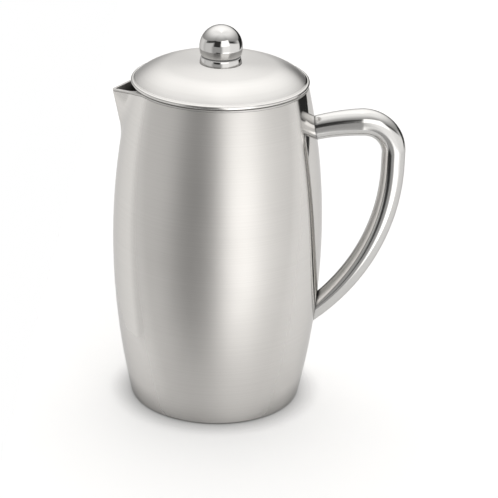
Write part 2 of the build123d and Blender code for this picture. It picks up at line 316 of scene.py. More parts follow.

# screen of fine wires that pass over and under each other; the low ground between the wires gets a
# near-black colour, painted shade in the openings of the weave
weave = {
    "pitch": 0.55 * mm, "wire": (0.58, 0.58, 0.57), "gap": (0.04, 0.04, 0.04), "span": (0.25, 0.85),
    "rough": (0.5, 0.28), "roughSpan": (0.3, 0.9), "bump": 0.8, "depth": 0.15 * mm,
}
wavePitch = 0.31416  # metres from crest to crest of a wave texture of scale 1


def wovenFinish(name):
    material, tree, shader = newMaterial(name)
    place = addNode(tree, "ShaderNodeTexCoord").outputs["Object"]
    waves = []
    for direction in ("X", "Y"):
        values = {"Vector": place, "Scale": wavePitch / weave["pitch"], "Distortion": 0.0}
        wave = addNode(
            tree, "ShaderNodeTexWave", values,
            wave_type="BANDS", bands_direction=direction, wave_profile="SIN",
        )
        waves.append(wave.outputs["Fac"])
    crest = mathNode(tree, "MAXIMUM", *waves)
    height = remap(tree, crest, 0.0, 1.0, *weave["span"])
    # the colour runs from painted shade where the weave lies low to the wire tone on the crests
    feed(tree, shader, {
        "Metallic": 1.0, "Base Color": mixColours(tree, height, weave["gap"], weave["wire"]),
        "Roughness": remap(tree, crest, *weave["rough"], *weave["roughSpan"]),
    })
    raiseSurface(tree, shader, height, weave["bump"], weave["depth"])
    return material


finishes["woven_mesh"] = wovenFinish("woven_mesh")

plastic = {
    "dark": (0.010, 0.010, 0.011), "light": (0.022, 0.022, 0.023), "grain": 2600.0,
    "rough": (0.38, 0.5), "bump": 0.15, "depth": 0.03 * mm,
}


def plasticFinish(name):
    material, tree, shader = newMaterial(name)
    place = addNode(tree, "ShaderNodeTexCoord").outputs["Object"]
    values = {"Vector": place, "Scale": plastic["grain"], "Detail": 2.0}
    grain = addNode(tree, "ShaderNodeTexNoise", values).outputs["Fac"]
    feed(tree, shader, {
        "Base Color": mixColours(tree, grain, plastic["dark"], plastic["light"]),
        "Roughness": remap(tree, grain, *plastic["rough"]),
    })
    raiseSurface(tree, shader, grain, plastic["bump"], plastic["depth"])
    return material


finishes["bush_plastic"] = plasticFinish("bush_plastic")
for part in frame["record"]["subparts"]:
    node = frame["nodes"][part["node"]]
    node.data.materials.clear()
    node.data.materials.append(finishes[part["material_slot"]])
print("finishes made:", len(finishes))


# pot

pot = {
    "bellyRadius": 60.0, "bellyHeight": 97.3, "footRadius": 49.2, "rimRadius": 49.2,
    "rimHeight": 189.4, "footRound": 2.0, "footHole": 44.0, "footLip": 1.0, "sheet": 0.8,
    "band": 1.0, "seam": 0.05, "parts": 6, "columns": 288, "firstRow": 5.0, "wideRows": 4.0,
    "closeRows": 1.5, "closeAbove": 146.0, "leastRow": 0.4,
}
spout = {
    "tip": 60.2, "tipHeight": 184.0, "lean": 0.213, "noseRound": 2.6, "halfAngle": 46.0,
    "blend": 2.0, "kneeOut": 49.2, "kneeHeight": 186.3, "rootOut": 42.5, "kneeBlend": 0.3,
    "rootBlend": 0.9, "plainBelow": 148.0, "fadeLow": 160.0, "fadeTop": 187.4, "crowd": 0.8,
    "openPerMm": 0.9, "rounds": 4,
}
liner = {
    "radius": 46.5, "sheet": 0.8, "floor": 8.0, "corner": 8.0, "rimRound": 0.4, "parts": 8,
    "firstRow": 20.0, "lastRow": 187.4, "channelInset": 1.9, "channelBend": 178.0,
    "channelLow": 160.0, "channelLowOut": 45.8, "channelRunOut": -6.0,
}


def barrelRadius(height):
    above = height > pot["bellyHeight"]
    span = pot["rimHeight"] - pot["bellyHeight"] if above else pot["bellyHeight"]
    bulge = pot["bellyRadius"] - (pot["rimRadius"] if above else pot["footRadius"])
    arc = (span**2 + bulge**2) / (2 * bulge)
    return pot["bellyRadius"] - arc + math.sqrt(arc**2 - (height - pot["bellyHeight"]) ** 2)


def clampShare(value):
    return min(max(value, 0), 1)


def smoothMax(one, other, blend):
    near = max(blend - abs(one - other), 0) / blend
    return max(one, other) + near * near * blend / 4


# distance from the axis to a V with a rounded nose, whose flanks open below the lip; turn is 0
# along the spout
def noseReach(turn, height, nose, noseRound):
    below = min(max(spout["tipHeight"] - height, 0), spout["tipHeight"] - spout["fadeLow"])
    lean = math.radians(spout["halfAngle"] + below * spout["openPerMm"])
    middle = nose - noseRound
    turn = abs(turn)
    touch = math.atan2(noseRound * math.cos(lean), middle + noseRound * math.sin(lean))
    if turn < touch:
        return middle * math.cos(turn) + math.sqrt(noseRound**2 - (middle * math.sin(turn)) ** 2)
    if turn + lean > math.pi / 2:  # behind the V
        return 0
    return (middle * math.sin(lean) + noseRound) / math.sin(turn + lean)


def noseOut(height):
    return spout["tip"] - (spout["tipHeight"] - height) * spout["lean"]


def potReach(turn, height):
    nose = noseReach(turn, height, noseOut(height), spout["noseRound"])
    return smoothMax(barrelRadius(height), nose, spout["blend"])


def linerReach(turn, height):
    inset = liner["channelInset"]
    bend = liner["channelBend"]
    out = noseOut(height) - inset
    if height < bend:
        low, lowOut = liner["channelLow"], liner["channelLowOut"]
        share = max(height - low, liner["channelRunOut"]) / (bend - low)
        out = lowOut + (noseOut(bend) - inset - lowOut) * share
    nose = noseReach(turn, height, out, spout["noseRound"] - inset)
    return smoothMax(liner["radius"], nose, spout["blend"])


# height of the lip over a point that far out towards the spout
def lipHeight(out):
    knee, kneeHeight = spout["kneeOut"], spout["kneeHeight"]
    tipSlope = (kneeHeight - spout["tipHeight"]) / (spout["tip"] - knee)
    rootSlope = (pot["rimHeight"] - kneeHeight) / (knee - spout["rootOut"])
    far = kneeHeight - (out - knee) * tipSlope
    near = kneeHeight - (out - knee) * rootSlope
    dipped = smoothMax(far, near, spout["kneeBlend"])
    return -smoothMax(-dipped, -pot["rimHeight"], spout["rootBlend"])


# pulls the spout out of a turned wall; share is 1 on the outer wall and 0 on the inner one
def pullSpout(piece, shareAt):
    for vertex in piece.data.vertices:
        radius = math.hypot(vertex.co.x, vertex.co.y) / mm
        start = vertex.co.z / mm
        raw = math.atan2(vertex.co.y, -vertex.co.x)
        turn = raw - spout["crowd"] * math.sin(raw)  # more columns at the spout
        share = shareAt(radius)
        fade = clampShare((start - spout["fadeLow"]) / (spout["fadeTop"] - spout["fadeLow"]))
        height = start
        grown = radius
        for attempt in range(spout["rounds"]):
            outer = potReach(turn, height) - barrelRadius(start)
            inner = linerReach(turn, height) - liner["radius"]
            grown = radius + share * outer + (1 - share) * inner
            if share == 1 and start < spout["plainBelow"]:
                grown = radius
            height = start - (pot["rimHeight"] - lipHeight(grown * math.cos(turn))) * fade
        vertex.co = (-grown * math.cos(turn) * mm, grown * math.sin(turn) * mm, height * mm)
    piece.data.update()


def wallRows(low, high):
    rows = []
    height = low
    while height < high - pot["leastRow"]:
        rows.append(height)
        height += pot["closeRows"] if height > pot["closeAbove"] else pot["wideRows"]
    return rows + [high]


shellTop = pot["rimHeight"] - pot["band"] - pot["seam"]
outside = [(barrelRadius(row), row) for row in wallRows(pot["firstRow"], shellTop)]
inside = [(barrelRadius(row) - pot["sheet"], row) for row in wallRows(pot["footLip"], shellTop)]
shellProfile = [(pot["footHole"], 0.0), (pot["footRadius"], 0.0, pot["footRound"])]
shellProfile += outside + inside[::-1] + [(pot["footHole"], pot["footLip"])]
potShell = turnCorners("potShell", shellProfile, pot)
pullSpout(potShell, lambda radius: 1)
finishPiece(potShell, "pot", "brushed_shell", "outer_shell")
print("pot shell turned and spout pulled")

linerOut = liner["radius"] + liner["sheet"]
bandLow = pot["rimHeight"] - pot["band"]
rim = pot["rimHeight"]
linerProfile = [(pot["rimRadius"], bandLow), (pot["rimRadius"], rim, liner["rimRound"])]
linerProfile += [(liner["radius"], rim, liner["rimRound"])]
linerRows = wallRows(liner["firstRow"], liner["lastRow"])
linerProfile += [(liner["radius"], row) for row in linerRows[::-1]]
linerProfile += [(liner["radius"], liner["floor"], liner["corner"]), (0.0, liner["floor"])]
linerProfile += [(0.0, liner["floor"] - liner["sheet"])]
linerProfile += [(linerOut, liner["floor"] - liner["sheet"], liner["corner"] + liner["sheet"])]
linerProfile += [(linerOut, row) for row in wallRows(liner["firstRow"], bandLow)]
linerPoints = roundCorners(linerProfile, liner["parts"])
potLiner = turnProfile("potLiner", linerPoints, pot["columns"])
flange = pot["rimRadius"] - linerOut
pullSpout(potLiner, lambda radius: clampShare((radius - linerOut) / flange))
finishPiece(potLiner, "pot", "satin_liner", "inner_liner")
print("liner turned")

cover = {
    "radius": 43.9, "flange": 46.5, "thick": 1.0, "flangeThick": 0.8, "groove": 33.0, "wide": 5.0,
    "deep": 0.4, "edge": 0.15, "rimEdge": 0.2, "parts": 3, "columns": 128,
}
grooveIn = cover["groove"] - cover["wide"] / 2
grooveOut = cover["groove"] + cover["wide"] / 2
ledge = cover["thick"] + pot["seam"]
coverTop = ledge + cover["flangeThick"]
coverProfile = [
    (0.0, 0.0), (grooveIn, 0.0, cover["edge"]), (grooveIn, cover["deep"], cover["edge"]),
    (grooveOut, cover["deep"], cover["edge"]), (grooveOut, 0.0, cover["edge"]),
    (cover["radius"], 0.0, cover["rimEdge"]), (cover["radius"], ledge), (cover["flange"], ledge),
    (cover["flange"], coverTop), (0.0, coverTop),
]
baseCover = turnCorners("baseCover", coverProfile, cover)
finishPiece(baseCover, "pot", "satin_liner", "base_cover")
print("base cover turned")


# handle: one tube, drawn as a ring of points that runs along the bends and swells towards the upper
# one

handle = {
    "rootRadius": 6.5, "turnRadius": 7.7, "sideRadius": 6.7, "footRadius": 6.2, "startX": 46.0,
    "runRound": 117.6, "runLean": 2.5, "sideX": 98.6, "bendRound": 17.5, "bendHeight": 150.7,
    "sideLow": 143.0, "sweepRound": 118.0, "endHeight": 45.0, "around": 64, "runSteps": 24,
    "bendSteps": 48, "sweepSteps": 64, "smooth": 40, "seatRounds": 30,
}
runLean = math.radians(handle["runLean"])
bendTurn = math.pi / 2 + runLean
bendCentre = Vector((handle["sideX"] - handle["bendRound"], 0, handle["bendHeight"]))
runRest = handle["runRound"] - handle["bendRound"]
runCentre = bendCentre + Vector((runRest * math.sin(runLean), 0, -runRest * math.cos(runLean)))
runTurn = math.acos((handle["startX"] - runCentre.x) / handle["runRound"])
sweepCentre = Vector((handle["sideX"] - handle["sweepRound"], 0, handle["sideLow"]))
sweepTurn = -math.asin((handle["sideLow"] - handle["endHeight"]) / handle["sweepRound"])


# point on a tube that is bent round a centre; share runs from the free end of the stretch to the
# other one
def tubePoint(stretch, share, out, side):
    angle = stretch["from"] + (stretch["to"] - stretch["from"]) * share
    radius = stretch["fromRadius"] + (stretch["toRadius"] - stretch["fromRadius"]) * share
    reach = stretch["round"] + radius * out
    centre = stretch["centre"]
    across, up = reach * math.cos(angle), reach * math.sin(angle)
    return Vector((centre.x + across, radius * side, centre.z + up))


# share of the stretch at which a line along the tube meets the pot
def potShare(stretch, out, side):
    low, high = 0.0, 1.0
    for attempt in range(handle["seatRounds"]):
        middle = (low + high) / 2
        trial = tubePoint(stretch, middle, out, side)
        clear = math.hypot(trial.x, trial.y) > barrelRadius(trial.z) + pot["seam"]
        low, high = (middle, high) if clear else (low, middle)
    return low


handleRun = {
    "centre": runCentre, "round": handle["runRound"], "from": bendTurn, "to": runTurn,
    "fromRadius": handle["turnRadius"], "toRadius": handle["rootRadius"],
}
handleBend = {
    "centre": bendCentre, "round": handle["bendRound"], "from": 0.0, "to": bendTurn,
    "fromRadius": handle["sideRadius"], "toRadius": handle["turnRadius"],
}
handleSweep = {
    "centre": sweepCentre, "round": handle["sweepRound"], "from": 0.0, "to": sweepTurn,
    "fromRadius": handle["sideRadius"], "toRadius": handle["footRadius"],
}


# gives the even tube its swelling and lets both ends stand on the pot
def shapeHandle(piece):
    for vertex in piece.data.vertices:
        point = vertex.co / mm
        if handle["sideLow"] <= point.z <= handle["bendHeight"]:
            continue
        stretch = handleSweep
        if point.z > handle["bendHeight"]:
            away = point - runCentre
            stretch = handleRun if math.atan2(away.z, away.x) > bendTurn - 1e-6 else handleBend
        away = point - stretch["centre"]
        share = (math.atan2(away.z, away.x) - stretch["from"]) / (stretch["to"] - stretch["from"])
        out = (math.hypot(away.x, away.z) - stretch["round"]) / handle["sideRadius"]
        side = point.y / handle["sideRadius"]
        if stretch is not handleBend:
            share *= potShare(stretch, out, side)
        vertex.co = tubePoint(stretch, share, out, side) * mm
    piece.data.update()


def capEnds():
    bpy.ops.mesh.select_all(action="DESELECT")
    bpy.ops.mesh.select_non_manifold(extend=False)
    bpy.ops.mesh.edge_face_add()
    bpy.ops.mesh.poke()


clearSelection()
ringStart = runCentre + Vector((math.cos(runTurn), 0, math.sin(runTurn))) * handle["runRound"]
bpy.ops.mesh.primitive_circle_add(
    vertices=handle["around"], radius=handle["sideRadius"] * mm, location=ringStart * mm,
    rotation=(0, math.pi - runTurn, 0),
)
handleTube = bpy.context.object
handleTube.name = "handleTube"
handleTube.data.name = "handleTube"
bpy.ops.object.transform_apply(location=True, rotation=True, scale=True)
bpy.ops.object.mode_set(mode="EDIT")
bpy.ops.mesh.select_all(action="SELECT")


def bendOn(steps, angle, centre):
    bpy.ops.mesh.spin(steps=steps, angle=angle, center=centre * mm, axis=(0, -1, 0))


bendOn(handle["runSteps"], runTurn - bendTurn, runCentre)
bendOn(handle["bendSteps"], bendTurn, bendCentre)
drop = handle["bendHeight"] - handle["sideLow"]
bpy.ops.mesh.extrude_region_move(TRANSFORM_OT_translate={"value": (0, 0, -drop * mm)})
bendOn(handle["sweepSteps"], -sweepTurn, sweepCentre)
bpy.ops.mesh.select_all(action="SELECT")
bpy.ops.mesh.remove_doubles(threshold=weldGap)
bpy.ops.object.mode_set(mode="OBJECT")
shapeHandle(handleTube)
bpy.ops.object.mode_set(mode="EDIT")
capEnds()
bpy.ops.mesh.select_all(action="SELECT")
bpy.ops.mesh.normals_make_consistent(inside=False)
bpy.ops.object.mode_set(mode="OBJECT")
bpy.ops.object.shade_smooth_by_angle(angle=math.radians(handle["smooth"]))
finishPiece(handleTube, "pot", "polished_steel", "handle_tube")
print("handle tube bent and seated on the pot")


# lid

dome = {
    "crown": 201.0, "knee": 30.4, "kneeDrop": 1.2, "footOut": 48.8, "footHeight": 191.4,
    "sheet": 0.8, "beadOut": 48.8, "beadHeight": 190.8, "beadRound": 1.1, "hole": 6.2,
    "crownParts": 24, "shoulderParts": 40, "beadParts": 28, "columns": 256, "smooth": 24,
}


def domeLine(inset):
    crownRound = (dome["knee"] ** 2 + dome["kneeDrop"] ** 2) / (2 * dome["kneeDrop"])
    kneeTurn = math.degrees(math.asin(dome["knee"] / crownRound))
    holeTurn = math.degrees(math.asin(dome["hole"] / crownRound))
    middle = Vector((0, dome["crown"] - crownRound))
    crownInset = crownRound - inset
    points = arcPoints(middle, crownInset, 90 - holeTurn, 90 - kneeTurn, dome["crownParts"])
    knee = Vector((dome["knee"], dome["crown"] - dome["kneeDrop"]))
    foot = Vector((dome["footOut"], dome["footHeight"]))
    inward = (middle - knee).normalized()
    chord = foot - knee
    shoulderRound = chord.dot(chord) / (2 * chord.dot(inward))
    centre = knee + inward * shoulderRound
    away = foot - centre
    footTurn = math.degrees(math.atan2(away.y, away.x))
    shoulderInset = shoulderRound - inset
    shoulder = arcPoints(centre, shoulderInset, 90 - kneeTurn, footTurn, dome["shoulderParts"])
    return points + shoulder[1:]


bead = Vector((dome["beadOut"], dome["beadHeight"]))


def clearOfBead(points):
    return [point for point in points if (point - bead).length > dome["beadRound"]]


domeOut = clearOfBead(domeLine(0))
domeIn = clearOfBead(domeLine(dome["sheet"]))
leave = math.degrees(math.atan2(domeOut[-1].y - bead.y, domeOut[-1].x - bead.x))
arrive = math.degrees(math.atan2(domeIn[-1].y - bead.y, domeIn[-1].x - bead.x)) - 360
beadLine = arcPoints(bead, dome["beadRound"], leave, arrive, dome["beadParts"])
domePoints = domeOut + beadLine[1:-1] + domeIn[::-1]
lidDome = turnProfile("lidDome", domePoints, dome["columns"], dome["smooth"])
finishPiece(lidDome, "lid", "brushed_lid", "lid_dome")
print("lid dome turned")

collar = {
    "radius": 11.8, "topRadius": 11.1, "top": 204.5, "edge": 0.3, "stem": 6.0, "stemLow": 185.2,
    "bore": 4.5, "foot": 200.9, "waist": (11.65, 202.7), "waistRound": 12.0,
    "parts": 8, "columns": 160,
}
collarProfile = [
    (collar["bore"], collar["stemLow"]), (collar["stem"], collar["stemLow"], collar["edge"]),
    (collar["stem"], collar["foot"]), (collar["radius"], collar["foot"]),
    (*collar["waist"], collar["waistRound"]), (collar["topRadius"], collar["top"], collar["edge"]),
    (collar["bore"], collar["top"], collar["edge"]),
]
lidCollar = turnCorners("lidCollar", collarProfile, collar)
finishPiece(lidCollar, "lid", "polished_steel", "lid_collar")

underplate = {
    "radius": 47.6, "hole": 6.2, "low": 189.9, "thick": 0.8, "edge": 0.25,
    "parts": 3, "columns": 160,
}
plateTop = underplate["low"] + underplate["thick"]
underplateProfile = [
    (underplate["hole"], underplate["low"]),
    (underplate["radius"], underplate["low"], underplate["edge"]),
    (underplate["radius"], plateTop, underplate["edge"]), (underplate["hole"], plateTop),
]
lidUnderplate = turnCorners("lidUnderplate", underplateProfile, underplate)
finishPiece(lidUnderplate, "lid", "satin_liner", "lid_underplate")

bush = {
    "radius": 4.45, "top": 204.0, "flange": 5.9, "thick": 1.2, "bore": 2.55, "edge": 0.3,
    "parts": 4, "columns": 64,
}
bushHigh = collar["stemLow"] - pot["seam"]
bushLow = bushHigh - bush["thick"]
bushProfile = [
    (bush["bore"], bushLow, bush["edge"]), (bush["flange"], bushLow, bush["edge"]),
    (bush["flange"], bushHigh), (bush["radius"], bushHigh),
    (bush["radius"], bush["top"], bush["edge"]), (bush["bore"], bush["top"], bush["edge"]),
]
guideBush = turnCorners("guideBush", bushProfile, bush)
finishPiece(guideBush, "lid", "bush_plastic", "guide_bush")

washer = {"radius": 9.6, "hole": 6.2, "thick": 0.8, "edge": 0.2, "parts": 3, "columns": 96}
washerLow = underplate["low"] - washer["thick"]
washerProfile = [
    (washer["hole"], washerLow), (washer["radius"], washerLow, washer["edge"]),
    (washer["radius"], underplate["low"]), (washer["hole"], underplate["low"]),
]
collarWasher = turnCorners("collarWasher", washerProfile, washer)
finishPiece(collarWasher, "lid", "fitting_steel", "collar_washer")

retainer = {
    "radius": 39.2, "sheet": 0.8, "lip": 43.0, "low": 187.6, "bend": 0.7, "edge": 0.25,
    "innerBend": 0.2, "parts": 4, "columns": 160,
}
neckOut = retainer["radius"] + retainer["sheet"]
lipHigh = retainer["low"] + retainer["sheet"]
retainerProfile = [
    (retainer["radius"], underplate["low"]),
    (retainer["radius"], retainer["low"], retainer["bend"]),
    (retainer["lip"], retainer["low"], retainer["edge"]),
    (retainer["lip"], lipHigh, retainer["edge"]), (neckOut, lipHigh, retainer["innerBend"]),
    (neckOut, underplate["low"]),
]
strainerRetainer = turnCorners("strainerRetainer", retainerProfile, retainer)
finishPiece(strainerRetainer, "lid", "satin_liner", "strainer_retainer")
print("lid fittings turned")

strainer = {
    "radius": 46.1, "sheet": 0.8, "low": 177.0, "top": 189.5, "flangeIn": 40.3, "bend": 1.0,
    "edge": 0.25, "innerBend": 0.3, "parts": 4, "columns": 192, "slots": 25, "slotWide": 1.6,
    "slotHigh": 7.6, "slotDeep": 4.0, "slotLow": 179.2, "slotStep": 3.2, "slotRound": 0.35,
    "slotParts": 2,
}
strainerIn = strainer["radius"] - strainer["sheet"]
flangeLow = strainer["top"] - strainer["sheet"]
strainerProfile = [
    (strainer["radius"], strainer["low"], strainer["edge"]),
    (strainer["radius"], strainer["top"], strainer["bend"]),
    (strainer["flangeIn"], strainer["top"], strainer["edge"]),
    (strainer["flangeIn"], flangeLow, strainer["edge"]),
    (strainerIn, flangeLow, strainer["innerBend"]),
    (strainerIn, strainer["low"], strainer["edge"]),
]
strainerRing = turnCorners("strainerRing", strainerProfile, strainer)


def slotCutter(index):
    fromMiddle = index - (strainer["slots"] - 1) / 2
    angle = math.pi + math.radians(fromMiddle * strainer["slotStep"])
    middle = Vector((
        strainer["radius"] * math.cos(angle), strainer["radius"] * math.sin(angle),
        strainer["slotLow"] + strainer["slotHigh"] / 2,
    ))
    clearSelection()
    bpy.ops.mesh.primitive_cube_add(
        size=mm, location=middle * mm, rotation=(0, 0, angle),
        scale=(strainer["slotDeep"], strainer["slotWide"], strainer["slotHigh"]),
    )
    cutter = bpy.context.object
    bpy.ops.object.transform_apply(location=True, rotation=True, scale=True)
    bpy.ops.object.mode_set(mode="EDIT")
    bpy.ops.mesh.select_all(action="SELECT")
    bpy.ops.mesh.bevel(
        offset=strainer["slotRound"] * mm, segments=strainer["slotParts"], affect="EDGES",
    )
    bpy.ops.object.mode_set(mode="OBJECT")
    return cutter


cutters = [slotCutter(index) for index in range(strainer["slots"])]
clearSelection()
for cutter in cutters:
    cutter.select_set(True)
bpy.context.view_layer.objects.active = cutters[0]
bpy.ops.object.join()
slotTool = bpy.context.object
clearSelection()
strainerRing.select_set(True)
bpy.context.view_layer.objects.active = strainerRing
bpy.ops.object.modifier_add(type="BOOLEAN")
strainerRing.modifiers[-1].object = slotTool
strainerRing.modifiers[-1].operation = "DIFFERENCE"
bpy.ops.object.modifier_apply(modifier=strainerRing.modifiers[-1].name)
bpy.data.objects.remove(slotTool)
bpy.ops.object.shade_smooth_by_angle(angle=math.radians(smoothLimit))
finishPiece(strainerRing, "strainer", "satin_liner", "strainer_ring")
print("strainer ring slotted")


# plunger

rod = {
    "radius": 2.5, "top": 214.0, "low": 29.4, "endRadius": 2.0, "end": 23.5, "edge": 0.4,
    "stepEdge": 0.2, "parts": 4, "columns": 48,
}
rodProfile = [
    (0.0, rod["end"]), (rod["endRadius"], rod["end"], rod["edge"]), (rod["endRadius"], rod["low"]),
    (rod["radius"], rod["low"], rod["stepEdge"]), (rod["radius"], rod["top"], rod["edge"]),
    (0.0, rod["top"]),
]
plungerRod = turnCorners("plungerRod", rodProfile, rod)
finishPiece(plungerRod, "plunger", "fitting_steel", "plunger_rod")

# the sphere's first degrees above the cut give way to the rolled lip
knob = {
    "radius": 12.1, "height": 210.4, "cut": 205.6, "wall": 1.0, "hole": 7.0, "lipRound": 0.4,
    "lipTurn": 4.0, "lipParts": 8, "ballParts": 96, "hollowParts": 32, "columns": 160,
}
below = knob["height"] - knob["cut"]
cutOut = math.sqrt(knob["radius"] ** 2 - below**2)
inner = knob["radius"] - knob["wall"]
ballStart = knob["lipTurn"] - math.degrees(math.asin(below / knob["radius"]))
hollowEnd = -math.degrees(math.asin((below - knob["wall"]) / inner))
knobMiddle = (0, knob["height"])
ball = arcPoints(knobMiddle, knob["radius"], ballStart, 90, knob["ballParts"])
hollow = arcPoints(knobMiddle, inner, 90, hollowEnd, knob["hollowParts"])
ballProfile = [(knob["hole"], knob["cut"]), (cutOut, knob["cut"], knob["lipRound"])]
ballProfile += [tuple(point) for point in ball + hollow]
ballProfile += [(knob["hole"], knob["cut"] + knob["wall"])]
ballPoints = roundCorners(ballProfile, knob["lipParts"])
knobBall = turnProfile("knobBall", ballPoints, knob["columns"])
finishPiece(knobBall, "plunger", "polished_steel", "knob_ball")

neck = {
    "radius": 8.3, "low": 204.6, "plug": 6.95, "plugTop": 207.8, "boss": 4.6, "bossTop": 216.5,
    "bore": 2.55, "boreTop": 215.0, "edge": 0.25, "plugEdge": 0.3, "bossEdge": 0.4,
    "parts": 5, "columns": 128,
}
neckProfile = [
    (neck["bore"], neck["low"]), (neck["radius"], neck["low"], neck["edge"]),
    (neck["radius"], knob["cut"]), (neck["plug"], knob["cut"]),
    (neck["plug"], neck["plugTop"], neck["plugEdge"]), (neck["boss"], neck["plugTop"]),
    (neck["boss"], neck["bossTop"], neck["bossEdge"]), (0.0, neck["bossTop"]),
    (0.0, neck["boreTop"]), (neck["bore"], neck["boreTop"]),
]
knobBase = turnCorners("knobBase", neckProfile, neck)
finishPiece(knobBase, "plunger", "polished_steel", "knob_base")

filterPlate = {"height": 29.0, "thick": 0.8}
shoulder = {
    "radius": 6.0, "bore": 2.55, "thick": 3.0, "chamfer": 0.8, "edge": 0.2,
    "parts": 3, "columns": 64,
}
shoulderLow = filterPlate["height"] + filterPlate["thick"] / 2
shoulderHigh = shoulderLow + shoulder["thick"]
shoulderProfile = [
    (shoulder["bore"], shoulderLow), (shoulder["radius"], shoulderLow, shoulder["edge"]),
    (shoulder["radius"], shoulderHigh - shoulder["chamfer"], shoulder["edge"]),
    (shoulder["radius"] - shoulder["chamfer"], shoulderHigh, shoulder["edge"]),
    (shoulder["bore"], shoulderHigh),
]
rodShoulder = turnCorners("rodShoulder", shoulderProfile, shoulder)
finishPiece(rodShoulder, "plunger", "fitting_steel", "rod_shoulder")

screen = {
    "hole": 2.05, "flat": 39.0, "trough": 40.6, "out": 46.15, "thick": 0.45, "drop": 2.6,
    "rise": 2.8, "bend": 0.6, "edge": 0.15, "parts": 4, "columns": 192,
}
screenTop = filterPlate["height"] - filterPlate["thick"] / 2
troughHeight = screenTop - screen["drop"]
edgeHeight = troughHeight + screen["rise"]
thick, bend = screen["thick"], screen["bend"]
screenProfile = [
    (screen["hole"], screenTop), (screen["flat"], screenTop, bend),
    (screen["trough"], troughHeight, bend), (screen["out"] - thick, troughHeight, bend),
    (screen["out"] - thick, edgeHeight, screen["edge"]),
    (screen["out"], edgeHeight, screen["edge"]),
    (screen["out"], troughHeight - thick, bend + thick),
    (screen["trough"] - thick / 2, troughHeight - thick, bend),
    (screen["flat"] - thick / 2, screenTop - thick, bend), (screen["hole"], screenTop - thick),
]
filterScreen = turnCorners("filterScreen", screenProfile, screen)
finishPiece(filterScreen, "plunger", "woven_mesh", "filter_mesh")

spring = {"ring": 43.2, "coil": 1.75, "wire": 0.35, "wireParts": 2, "turns": 60, "perTurn": 20}


def springPoint(angle):
    turn = angle / (spring["turns"] + 1)
    out = spring["ring"] + spring["coil"] * math.cos(angle)
    height = filterPlate["height"] + spring["coil"] * math.sin(angle)
    return (out * math.cos(turn) * mm, out * math.sin(turn) * mm, height * mm, 1)


clearSelection()
wire = bpy.data.curves.new("edgeSpring", "CURVE")
wire.dimensions = "3D"
wire.bevel_depth = spring["wire"] * mm
wire.bevel_resolution = spring["wireParts"]
wire.use_fill_caps = True
line = wire.splines.new("POLY")
stops = spring["turns"] * spring["perTurn"]
line.points.add(stops)
for stop in range(stops + 1):
    line.points[stop].co = springPoint(stop * 2 * math.pi / spring["perTurn"])
edgeSpring = bpy.data.objects.new("edgeSpring", wire)
bpy.context.scene.collection.objects.link(edgeSpring)
edgeSpring.select_set(True)
bpy.context.view_layer.objects.active = edgeSpring
bpy.ops.object.convert(target="MESH")
edgeSpring = bpy.context.object
bpy.ops.object.shade_smooth()
finishPiece(edgeSpring, "plunger", "filter_steel", "edge_spring")
for piece in (lidCollar, guideBush, plungerRod, knobBall, knobBase):
    piece.visible_glossy = False  # the photo's lid shows no image of the knob
print("plunger pieces made")


# studio: pale floor, a dark card in front of it, world with soft panels, camera

floorSettings = {
    "left": -0.115, "right": 0.62, "front": -0.14, "back": 2.6, "colour": (0.90, 0.90, 0.90),
    "glow": {"Is Camera Ray": 0.27, "Is Glossy Ray": 0.06, "Is Transmission Ray": 0.27},
    "paintedContactShade": {"reach": 14 * mm, "shade": 0.45, "span": (0.2, 1.0)},
}
darkCard = {
    "left": -0.29, "right": 0.0, "front": -0.65, "back": -0.145, "colour": (0.03, 0.03, 0.03),
    "across": (-0.24, -0.035, 0.04), "along": (-0.60, -0.15, 0.01),
}
planeLook = {"rough": 0.7, "drop": 0.02 * mm}


def layPlane(name, settings):
    clearSelection()
    bpy.ops.mesh.primitive_plane_add(size=1)
    plane = bpy.context.object
    plane.name = name
    plane.data.name = name
    left, right, front, back = (settings[side] for side in ("left", "right", "front", "back"))
    plane.scale = (right - left, back - front, 1)
    plane.location = ((right + left) / 2, (back + front) / 2, -planeLook["drop"])
    bpy.ops.object.transform_apply(location=True, rotation=True, scale=True)
    material, tree, shader = newMaterial(name)
    feed(tree, shader, {
        "Base Color": (*settings["colour"], 1), "Roughness": planeLook["rough"],
        "Specular IOR Level": 0.0,
    })
    plane.data.materials.append(material)
    return plane, tree, shader


# mask of a panel with soft edges; limits are (left, right, softness) and (low, high, softness)
panelKeys = ("Left", "Right", "Side Soft", "Low", "High", "Soft")


def makePanelGroup():
    group, given, result = newGroup("softPanel", ("Turn", "Rise", *panelKeys), ("Mask",))
    edges = (
        ("Turn", "Left", "Side Soft"), ("Right", "Turn", "Side Soft"),
        ("Rise", "Low", "Soft"), ("High", "Rise", "Soft"),
    )
    total = 1.0
    for larger, smaller, softness in edges:
        gap = mathNode(group, "SUBTRACT", given[larger], given[smaller])
        share = mathNode(group, "DIVIDE", gap, given[softness])
        values = {"Value": share, "From Min": -1.0, "From Max": 1.0}
        step = addNode(group, "ShaderNodeMapRange", values, interpolation_type="SMOOTHSTEP")
        total = mathNode(group, "MULTIPLY", total, step.outputs["Result"])
    feed(group, result, {"Mask": total})
    return group


softPanel = makePanelGroup()


def panelMask(tree, name, turn, rise, limits):
    mask = addNode(tree, "ShaderNodeGroup", node_tree=softPanel, label=name)
    feed(tree, mask, {"Turn": turn, "Rise": rise, **dict(zip(panelKeys, limits))})
    return mask.outputs["Mask"]


floorTree, floorShader = layPlane("studioFloor", floorSettings)[1:]
# painted shade: ambient occlusion darkens the floor colour near the object, on top of its cast
# shadow, and the glow carries that shade too
floorColourAndShade = paintGapShade(floorTree, floorSettings["colour"], floorSettings["paintedContactShade"])
floorRays = addNode(floorTree, "ShaderNodeLightPath").outputs
glow = 0.0
for ray, strength in floorSettings["glow"].items():
    glow = mathNode(floorTree, "MULTIPLY_ADD", floorRays[ray], strength, glow)
feed(floorTree, floorShader, {
    "Base Color": floorColourAndShade, "Emission Color": floorColourAndShade, "Emission Strength": glow,
})

